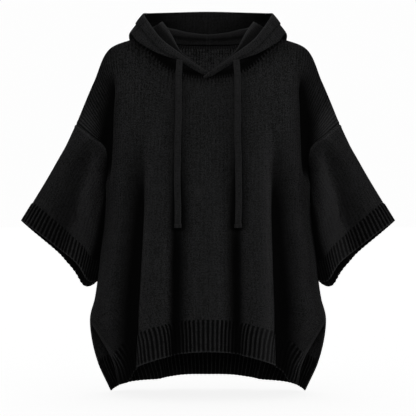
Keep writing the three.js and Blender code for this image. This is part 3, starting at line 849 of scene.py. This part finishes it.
for name, place, ribTop, hemEdge, rows, facing in panels:
    shares = spread(-1, 1, body["columns"], (-1, 1), (0.0012, 0.0025, 0.005, 0.008, 0.012))
    downs = spread(0, ribTop, rows, (0,), (0.002, 0.0045, 0.008))
    bm = clothGrid(
        shares, downs,
        lambda share, down: place(share, down, bodyLift(share, down)),
        lambda share, down: (share * body["halfWidth"], -down * mm),
        (0, facing, 0),
        hollow=place.hollow,
        opened=bodyOpened,
    )
    makeSheet(bm, name + "Body", [name + "_body"], ["jersey", "reverse"], body["wall"])

    def hemLine(share):
        return place(share, (ribTop + hemEdge) / 2, 0.0)

    hemShares = ribPlaces(-1, 1, hemLine)
    hemDowns = np.concatenate([
        [ribTop - 1.5],
        np.linspace(ribTop, ribTop + 6, 5),
        np.linspace(ribTop + 9, hemEdge - 4, 13),
        np.linspace(hemEdge - 3, hemEdge, 5),
    ])

    def hemLift(share, down):
        lip = bell(down - hemEdge, ribs["lipReach"])
        return ribLift(share.shape[-1], grown(down, ribTop, ribs["grow"]), lip, down < ribTop)

    bm = clothGrid(
        hemShares, hemDowns,
        lambda share, down: place(share, down, hemLift(share, down)),
        lambda share, down: (ribAcross(share.shape[-1]), -down * mm),
        (0, facing, 0),
        # painted highlight along the hem's edge
        hollow=lambda share, down: place.hollow(share, down) - 1.3 * bell(down - hemEdge, 2.2),
    )
    makeSheet(bm, name + "HemRib", [name + "_hem_rib"], ribbed, body["wall"], "rib")


# sleeves and cuffs

sleeve = {
    # along, outer upper fold (x, z), inner lower fold (x, z), half the depth
    "rings": [
        (0.33, (311, -238), (229, -412), 58),
        (0.68, (346, -299), (232, -443), 55),
        (1, (377, -350), (237, -472), 51),
        (1.42, (401, -389), (242, -514), 54),
    ],
    "boxy": 0.85,
    "axis": (0.5, 0, -0.87),
    "drawnUp": (7, 7),  # the cuff's edge at the front, and let down at the back
    "lowCorner": (17, 0.55, 0.4),
    "openLip": (1, 2.55, 0.36),  # the near side of the cuff's edge, drawn up beside the lower fold
    "farLip": (11, 3.9, 0.55),  # the far side, let down there
    "tuck": (-9, 26, 0.75),  # the lower fold's move inwards and back, and its reach
    "underArm": (1.2, 2.03),
    "underArmLift": 0.6,
    "seamLean": 0.2,
    "ridge": (0.72, 1.07, 0.17),  # the front fold's turn at the armhole, how far it drifts, and how soon
    # each fold's turn from the ridge, its reach before and after, its rise, and how it grows
    "folds": [
        (0.0, 0.1, 0.55, 10, 0.5),
        (-0.22, 0.3, 0.1, -8, 0.5),
        (2.6, 0.25, 0.2, -9, 1.2),
    ],
    "paintedRidgeLight": {1: 0.95, -1: 0.4},  # how strong the painted highlight on the ridge is, on the right and on the left
    "underarmDown": (262, 335),
    "cloth": 190,  # millimetres of cloth from the armhole to the cuff
    "cuffCloth": 115,  # and along the cuff, for each whole step
    "cuffGap": 0.012,
    "cuffEdge": 1.42,
    "girth": 0.42,
    "length": 0.19,
    "round": 144,
    "down": 100,
}


def armholeLine(turn, lean):
    around = (turn / math.pi + 2) % 2
    onFront = around <= 1
    share = np.where(onFront, around, 2 - around)
    lean = np.full_like(share, lean)
    front = placeFront(np.array(1.0), share * sleeve["underarmDown"][0], lean)
    back = placeBack(np.array(1.0), share * sleeve["underarmDown"][1], lean)
    return np.where(onFront[..., None], front, back)


# The armhole is worked out once, as a table of its points and of the way that its cloth faces.
armTurns = np.linspace(-0.1, math.tau + 0.1, 1600)
armSeam = armholeLine(armTurns, 0.0)
armFacing = unit(armSeam - armholeLine(armTurns, -body["wall"]))


def readTable(table, turn):
    return np.stack([np.interp(turn, armTurns, table[:, k]) for k in range(3)], -1)


def sleeveRing(ring, turn):
    along, top, bottom, depth = ring
    forward = np.sin(turn)
    share = ((1 + np.cos(turn)) / 2)[..., None]
    p = np.array((bottom[0], 0, bottom[1])) * (1 - share) + np.array((top[0], 0, top[1])) * share
    p[..., 1] = -depth * np.sign(forward) * np.abs(forward) ** sleeve["boxy"]
    drawn = forward * np.where(forward > 0, *sleeve["drawnUp"])
    drop, away, reach = sleeve["lowCorner"]
    low = drop * bell(np.abs(turn - math.pi) - away, reach)
    rise, at, reach = sleeve["openLip"]
    low = low - rise * bell(turn - at, reach) * ease((along - 1) / 0.3)
    rise, at, reach = sleeve["farLip"]
    low = low + rise * bell(turn - at, reach) * ease((along - 1) / 0.3)
    inwards, back, reach = sleeve["tuck"]
    tucked = bell(turn - math.pi, reach) * (1 - 0.5 * ease((along - 1) / 0.42))
    p = p + tucked[..., None] * np.array((inwards, back, 0))
    fall = (low - drawn) * ease(along - sleeve["rings"][0][0])
    return p + np.array(sleeve["axis"]) * fall[..., None]


def sleevePoint(turn, along):
    fromTop = np.minimum(turn, math.tau - turn)
    start, stop = sleeve["underArm"]
    under = ease((fromTop - start) / (stop - start))
    seam = readTable(armSeam, turn) + readTable(armFacing, turn) * (under * sleeve["underArmLift"])[..., None]
    knots = [0] + [ring[0] for ring in sleeve["rings"]]
    return smoothThrough(knots, [seam] + [sleeveRing(ring, turn) for ring in sleeve["rings"]], along)


def fromRidge(turn, along):
    start, drift, pace = sleeve["ridge"]
    return turn - start - drift * (1 - np.exp(-along / pace))


def sleeveFolds(turn, along):
    rise = 0
    for at, before, after, height, grow in sleeve["folds"]:
        off = fromRidge(turn, along) - at
        rise = rise + height * ease(along / grow) * bell(off, np.where(off < 0, before, after))
    return rise


# Painted shade under the arm, in the armhole crease and outside the ridge; painted light on the ridge, more
# so on the right, and along the armhole seam.
def sleevePaintedShading(side):
    paintedRidgeLight = sleeve["paintedRidgeLight"][side]

    def hollow(turn, along):
        down = along * sleeve["cloth"]
        crease = bell(down, 16) * grown(turn, 1.3, 0.7) * (1 - grown(turn, 4.4, 0.7))
        seam = bell(down - 2.5, 1.8) * (1 - grown(turn, 1.2, 0.5) * (1 - grown(turn, 4.4, 0.4)))
        under = grown(turn, 2.3, 0.3) * (1 - grown(turn, 4.2, 0.4))
        off = fromRidge(turn, along)
        beyond = bell(off + 0.14, np.where(off < -0.14, 0.7, 0.13)) * ease(along / 0.2)
        ridge = bell(off - 0.06, np.where(off < 0.06, 0.1, 0.45)) * ease(along / 0.2)
        shade = 0.95 * crease + 0.97 * under + 0.45 * beyond - paintedRidgeLight * ridge - 0.5 * seam
        return np.clip(shade, -1.5, 0.95)

    return hollow


def placeSleeve(side):
    def place(turn, along, lift):
        rise = lift + sleeveFolds(turn, along)
        step = 0.02
        roundWay = sleevePoint(turn + step, along) - sleevePoint(turn - step, along)
        downWay = sleevePoint(turn, along + step) - sleevePoint(turn, along - step)
        own = unit(np.cross(roundWay, downWay))
        shared = readTable(armFacing, turn)
        leaning = np.maximum(0, (own * shared).sum(-1)) * (1 - ease(along / sleeve["seamLean"]))
        out = unit(own + (shared - own) * leaning[..., None])
        return (sleevePoint(turn, along) + out * rise[..., None]) * (side, 1, 1)

    return place


turns = np.linspace(0, math.tau, sleeve["round"] + 1)
alongs = spread(0, 1 - sleeve["cuffGap"], sleeve["down"], (0,), (0.004, 0.009, 0.015, 0.022, 0.03))
cuffTop, cuffEdge = 1, sleeve["cuffEdge"]
cuffAlongs = np.concatenate([
    [cuffTop - 0.01],
    np.linspace(cuffTop, cuffTop + 0.04, 5),
    np.linspace(cuffTop + 0.06, cuffEdge - 0.03, 12),
    np.linspace(cuffEdge - 0.022, cuffEdge, 5),
])
for name, side in sides:
    place = placeSleeve(side)
    outward = (-side, 0, -0.6)

    def sleeveLift(turn, along):
        return seamDip(along * sleeve["cloth"], 0.5, 0.9) + 0 * turn

    bm = clothGrid(
        turns, alongs,
        lambda turn, along: place(turn, along, sleeveLift(turn, along)),
        lambda turn, along: (turn / math.tau * sleeve["girth"], -along * sleeve["length"]),
        outward,
        wrapped=True,
        hollow=sleevePaintedShading(side),
        opened=lambda turn, along: 0.25 + 0 * turn,
    )
    makeSheet(bm, "sleeve" + name, ["sleeve_" + name.lower()], ["jersey", "reverse"], body["wall"])

    def cuffLine(turn):
        return place(turn, np.array((cuffTop + cuffEdge) / 2), np.zeros_like(turn))

    cuffTurns = ribPlaces(0, math.tau, cuffLine)

    def fromEdge(along):
        return (along - cuffEdge) * sleeve["cuffCloth"]

    def cuffLift(turn, along):
        lip = bell(fromEdge(along), ribs["lipReach"])
        return ribLift(turn.shape[-1], ease((along - cuffTop) / 0.03), lip, along < cuffTop)

    # the sleeve's painted shade, lighter, with a painted highlight along the cuff's edge
    def cuffPaintedShading(turn, along):
        return 0.12 + 0.6 * sleevePaintedShading(side)(turn, along) - 1.5 * bell(fromEdge(along), 2.0)

    bm = clothGrid(
        cuffTurns, cuffAlongs,
        lambda turn, along: place(turn, along, cuffLift(turn, along)),
        lambda turn, along: (ribAcross(turn.shape[-1]), -along * (sleeve["cuffCloth"] / 1000)),
        outward,
        wrapped=True,
        hollow=cuffPaintedShading,
        # painted shade on the cuff's inner face, away from its edge
        inside=lambda turn, along: 0.8 * (1 - bell(fromEdge(along), 3.0)) + 0 * turn,
    )
    makeSheet(bm, "cuff" + name, ["cuff_" + name.lower()], ribbed, body["wall"], "rib")


# neckband

neck = {
    "lean": (0.0047, 0.0033),  # how far its wall leans in for each millimetre from the middle
    "bottom": -1.5,
    "top": 8.3,
    "rows": 12,
    "ribs": 110,
    "perRib": 6,
    "rise": 0.9,
    "roll": 1.6,
}


def placeNeck(side, around, rise, lift):
    onFront = around <= 0.5
    share = side * neckShare * 2 * np.where(onFront, around, 1 - around)
    zero = np.array(0.0)
    p = np.where(onFront[..., None], placeFront(share, zero, lift), placeBack(share, zero, lift))
    up = np.stack([-p[..., 0] * neck["lean"][0], -p[..., 1] * neck["lean"][1], np.ones_like(p[..., 0])], -1)
    return p + unit(up) * np.asarray(rise, float)[..., None]


def placeBand(turn, rise):
    side = np.where(turn > 1, -1, 1)
    around = np.where(turn > 1, 2 - turn, turn)
    phase = np.arange(turn.shape[-1])[None, :] / neck["perRib"] % 1
    rolled = -neck["roll"] * ease((rise - neck["top"] + 2) / 2)
    return placeNeck(side, around, rise, neck["rise"] * (0.5 - 0.5 * np.cos(math.tau * phase)) + rolled)


bandTurns = np.linspace(0, 2, neck["ribs"] * neck["perRib"] + 1)
bandRises = np.linspace(neck["bottom"], neck["top"], neck["rows"])
bm = clothGrid(
    bandTurns, bandRises, placeBand,
    lambda turn, rise: (turn / 2 * neck["ribs"] * ribs["pitch"] * mm, rise * mm),
    (0, 1, 0),
    wrapped=True,
    # painted shadow under the hood, deeper towards the top, and painted light on the inner face
    hollow=lambda turn, rise: 0.45 + 0.5 * grown(rise, 2, 5) + 0 * turn,
    inside=lambda turn, rise: -0.3 + 0 * turn,
)
makeSheet(bm, "neckRib", ["neckband"], ribbed, body["wall"], "neck")


# hood and its casing

hood = {
    # place along the neckline, roll, drop, edge, and the casing's width
    "stations": [
        (0, (0, -88, -82), (0, -92, -81), (0, -93, -80), 7),
        (0.05, (14, -85, -70), (14, -95, -77), (14, -93, -70), 14),
        (0.11, (32, -79, -54), (32, -100, -66), (32, -91, -57.5), 20),
        (0.21, (60, -66, -30), (61, -103, -52), (60, -85, -37.5), 24),
        (0.33, (80, -42, 8), (104, -93, -37), (95, -70, -9), 24),
        (0.42, (97, 0, 36), (148, -52, -9), (120, -22, 25), 24),
        (0.5, (96, 26, 36), (165, -8, 13), (136, 8, 51), 24),
        (0.57, (88, 48, 30), (171, 36, 6), (139, 58, 63), 24),
        (0.66, (70, 64, 28), (158, 92, -32), (127, 100, 69), 24),
        (0.8, (44, 78, 23), (108, 134, -86), (86, 138, 75), 24),
        (1, (0, 84, 19), (0, 150, -130), (0, 154, 79), 24),
    ],
    "pastNape": 1.2,  # where the other half's first station lies, beyond the seam
    "dropWidth": 9,
    "crossing": {1: (-9, -6, -6), -1: (-5, 4, 0)},  # how far each end is moved at the middle of the front
    "crossingStations": 2,
    "bandWidth": 8,
    "ribGap": 0.7,
    "rollShare": 0.3,
    "dropShare": 0.72,
    "dropReach": 0.65,
    "underCasing": 1.012,
    "wall": 2.2,
    "across": 206,
    "up": 116,
}
casing = {
    "thick": 5.0,
    "edge": 0.3,
    "start": 0.12,
    "end": 0.88,
    "power": 0.8,
    "stitching": (0.7, 0.09, 1.1),  # depth, share of the width, and reach
    "across": 16,
    "stations": 150,
}
nape = len(hood["stations"]) - 1
hoodBand = hood["stations"][-1][-1]


def hoodLine(side, at):
    _, roll, drop, edge, band = hood["stations"][nape - 1]
    mirror = [(-x, y, z) for x, y, z in (roll, drop, edge)]
    stations = hood["stations"] + [(hood["pastNape"], *mirror, band)]
    knots = list(range(len(stations)))

    def along(values):
        return smoothThrough(knots, [np.array(value, float) for value in values], at)

    roll, drop, edge = (along([station[k] for station in stations]) for k in (1, 2, 3))
    around = along([(station[0], station[4]) for station in stations])
    reach = np.minimum(around[..., 0], 1)
    seam = placeNeck(1, reach, hood["bandWidth"] + hood["ribGap"], np.full_like(reach, -0.2))
    outwards = unit((drop - roll) * (1, 1, 0))
    start = drop - outwards * (hood["dropWidth"] * np.clip(0.1 + at / 3, 0, 1))[..., None]
    over = ease(1 - at / hood["crossingStations"])[..., None]
    right, left = (np.array(hood["crossing"][k]) * over for k in (1, -1))
    onRight = (side > 0)[..., None]
    moved = np.where(onRight, right, left)
    points = [seam + np.where(onRight, right, 0), roll + moved, start + moved, drop + moved, edge + moved]
    lengths, pace = [np.zeros_like(reach)], [np.zeros_like(reach)]
    for a, b in zip(points, points[1:]):
        length = np.linalg.norm(b - a, axis=-1)
        lengths.append(lengths[-1] + length)
        pace.append(pace[-1] + np.sqrt(length))
    return points, lengths, pace, around[..., 1]


# share is the part of the cloth from the neck seam to the casing, or of the casing's width.
def placeHood(side, at, share, lift, onCasing=False):
    def spot(a, f):
        points, lengths, pace, band = hoodLine(side, a)
        end = lengths[-1] - band
        drop = np.minimum(lengths[3], lengths[1] + hood["dropReach"] * (end - lengths[1]))
        if onCasing:
            reach = end + band * f + hood["ribGap"]
        else:
            marks = [0, hood["rollShare"], hood["dropShare"], 1]
            reach = straight(marks, [0 * end, lengths[1], drop, end], f)
        return smoothThrough(pace, points, straight(lengths, pace, reach))

    step = 0.02
    before, after = np.maximum(at - step, 0), np.minimum(at + step, nape)
    up = spot(at, share + step) - spot(at, share - step)
    roundWay = spot(after, share) - spot(before, share)
    p = spot(at, share) + unit(np.cross(up, roundWay)) * np.asarray(lift, float)[..., None]
    p[..., 0] = np.where(at > nape - 0.5, np.maximum(p[..., 0], 0), p[..., 0])
    p[..., 0] *= np.where(side > 0, 1, -1)
    return p


def hoodSides(s, first):
    return np.where(s < 0, -1, 1), nape - np.abs(s) * (nape - first)


def placeHoodCloth(s, share):
    side, at = hoodSides(s, 1)
    lift = seamDip(fromMiddle(side, at, share)) * ease((at - nape + 1) * 2)
    tucked = -0.6 * grown(share, 0.99, 0.01)
    return placeHood(side, at, share, lift + tucked)


# painted shade in the seam's dip and painted light on its ridge beside it
def hoodSeam(x):
    return 0.8 * bell(x, 1.3) - 0.45 * bell(x - 3.2, 1.2)


# How far a place of the hood lies from its middle seam.
def fromMiddle(side, at, share):
    return np.abs(placeHood(side, at, share, np.zeros(np.broadcast(at, share).shape))[..., 0])


# Outside: painted shade where the cloth turns in to the neck, and the seam's painted shade and light down the
# middle.
def hoodPaintedShading(s, share):
    side, at = hoodSides(s, 1)
    tucked = (0.95 - 0.45 * grown(share, 0.02, 0.1)) * (1 - grown(share, hood["rollShare"], 0.1))
    seam = hoodSeam(fromMiddle(side, at, share)) * ease(at - nape + 1)
    return np.clip(0.08 + tucked + seam, -0.5, darkest)


# Inside: painted highlight on the roll round the neck and on the tongue at the front, painted shade behind
# it, in a crease below it and in the hood's corners.
def hoodInsidePaintedShading(s, share):
    side, at = hoodSides(s, 1)
    x = fromMiddle(side, at, share)
    back = grown(at, 6.8, 1.2)
    roll = 1.5 * bell(share - 0.285, 0.04)
    crease = 0.75 * bell(share - 0.13, 0.04) - 0.35 * bell(share - 0.22, 0.05)
    behind = ease((share - 0.31 - 0.06 * (1 - back)) / 0.07)
    corner = 0.35 + 0.6 * bell(x - 110, 45)
    tongue = 1.3 * bell(share - 0.3, 0.05) + 0.7 * bell(share - 0.37, 0.06)
    shade = behind * (corner * back + 0.7 * (1 - back)) + crease * back - roll - tongue * (1 - back)
    return np.clip(shade + hoodSeam(x) * ease(at - nape + 1), -1.3, darkest)


hoodShares = spread(-1, 1, hood["across"], (0,), (0.0007, 0.0015, 0.0025, 0.004, 0.006, 0.009))
hoodUps = np.linspace(0, hood["underCasing"], hood["up"] + 1)
bm = clothGrid(
    hoodShares, hoodUps, placeHoodCloth, None, (0, -1, 0),
    hollow=hoodPaintedShading,
    inside=hoodInsidePaintedShading,
    opened=lambda s, share: 0.3 + 0 * s,
)
hoodPiece = makeSheet(
    bm, "hood", ["hood_left", "hood_right"], ["jersey", "inside"], hood["wall"]
)


# The casing's closed section: out over the cord channel, round the open edge, and back inside.
def placeCasing(side, s, turn):
    at = (1 - s) * nape
    share = (1 - np.cos(turn)) / 2
    through = math.pi * (casing["start"] + (casing["end"] - casing["start"]) * share)
    half = casing["thick"] / 2 * (casing["edge"] + (1 - casing["edge"]) * np.sin(through) ** casing["power"])
    way = np.sign(np.sin(turn)) * np.minimum(1, np.abs(np.sin(turn)) * 4) ** 0.5
    depth, place, reach = casing["stitching"]
    stitched = -depth * bell((share - place) * hoodBand, reach) * (way > 0)
    lift = way * half - hood["wall"] / 2 + stitched
    return placeHood(np.full_like(at, side), at, share, lift, True)


# Painted shade along the stitching outside and in the hood's corner inside, painted highlight on the rim
# between.
def casingPaintedShading(s, turn):
    outside = turn > math.pi
    at = nape * (1 - s)
    stitches = 0.6 * bell((1 - np.cos(turn)) / 2 - 0.1, 0.04) * outside
    within = (0.9 - 0.6 * grown(at, 8.2, 1.6)) * ease((2.93 - turn) / 0.3) * grown(at, 6, 2)
    rim = 2.0 * bell(turn - math.pi, np.where(outside, 0.6, 0.25))
    return np.clip(0.08 + stitches + within - rim, -1.2, darkest)


sectionTurns = np.linspace(0, math.tau, 2 * casing["across"] + 1)
for name, side in sides:
    places = np.linspace(0, 1, casing["stations"] + 1)
    bm = clothGrid(
        places, sectionTurns, lambda s, turn: placeCasing(side, s, turn), None, (0, 1, 0),
        hollow=casingPaintedShading,
        opened=lambda s, turn: 0.3 + 0 * s,
    )
    capEnds(bm)
    finishPiece(bm, "casing" + name, ["hood_casing_" + name.lower()], ["jersey"])
print("hood and casings ready")
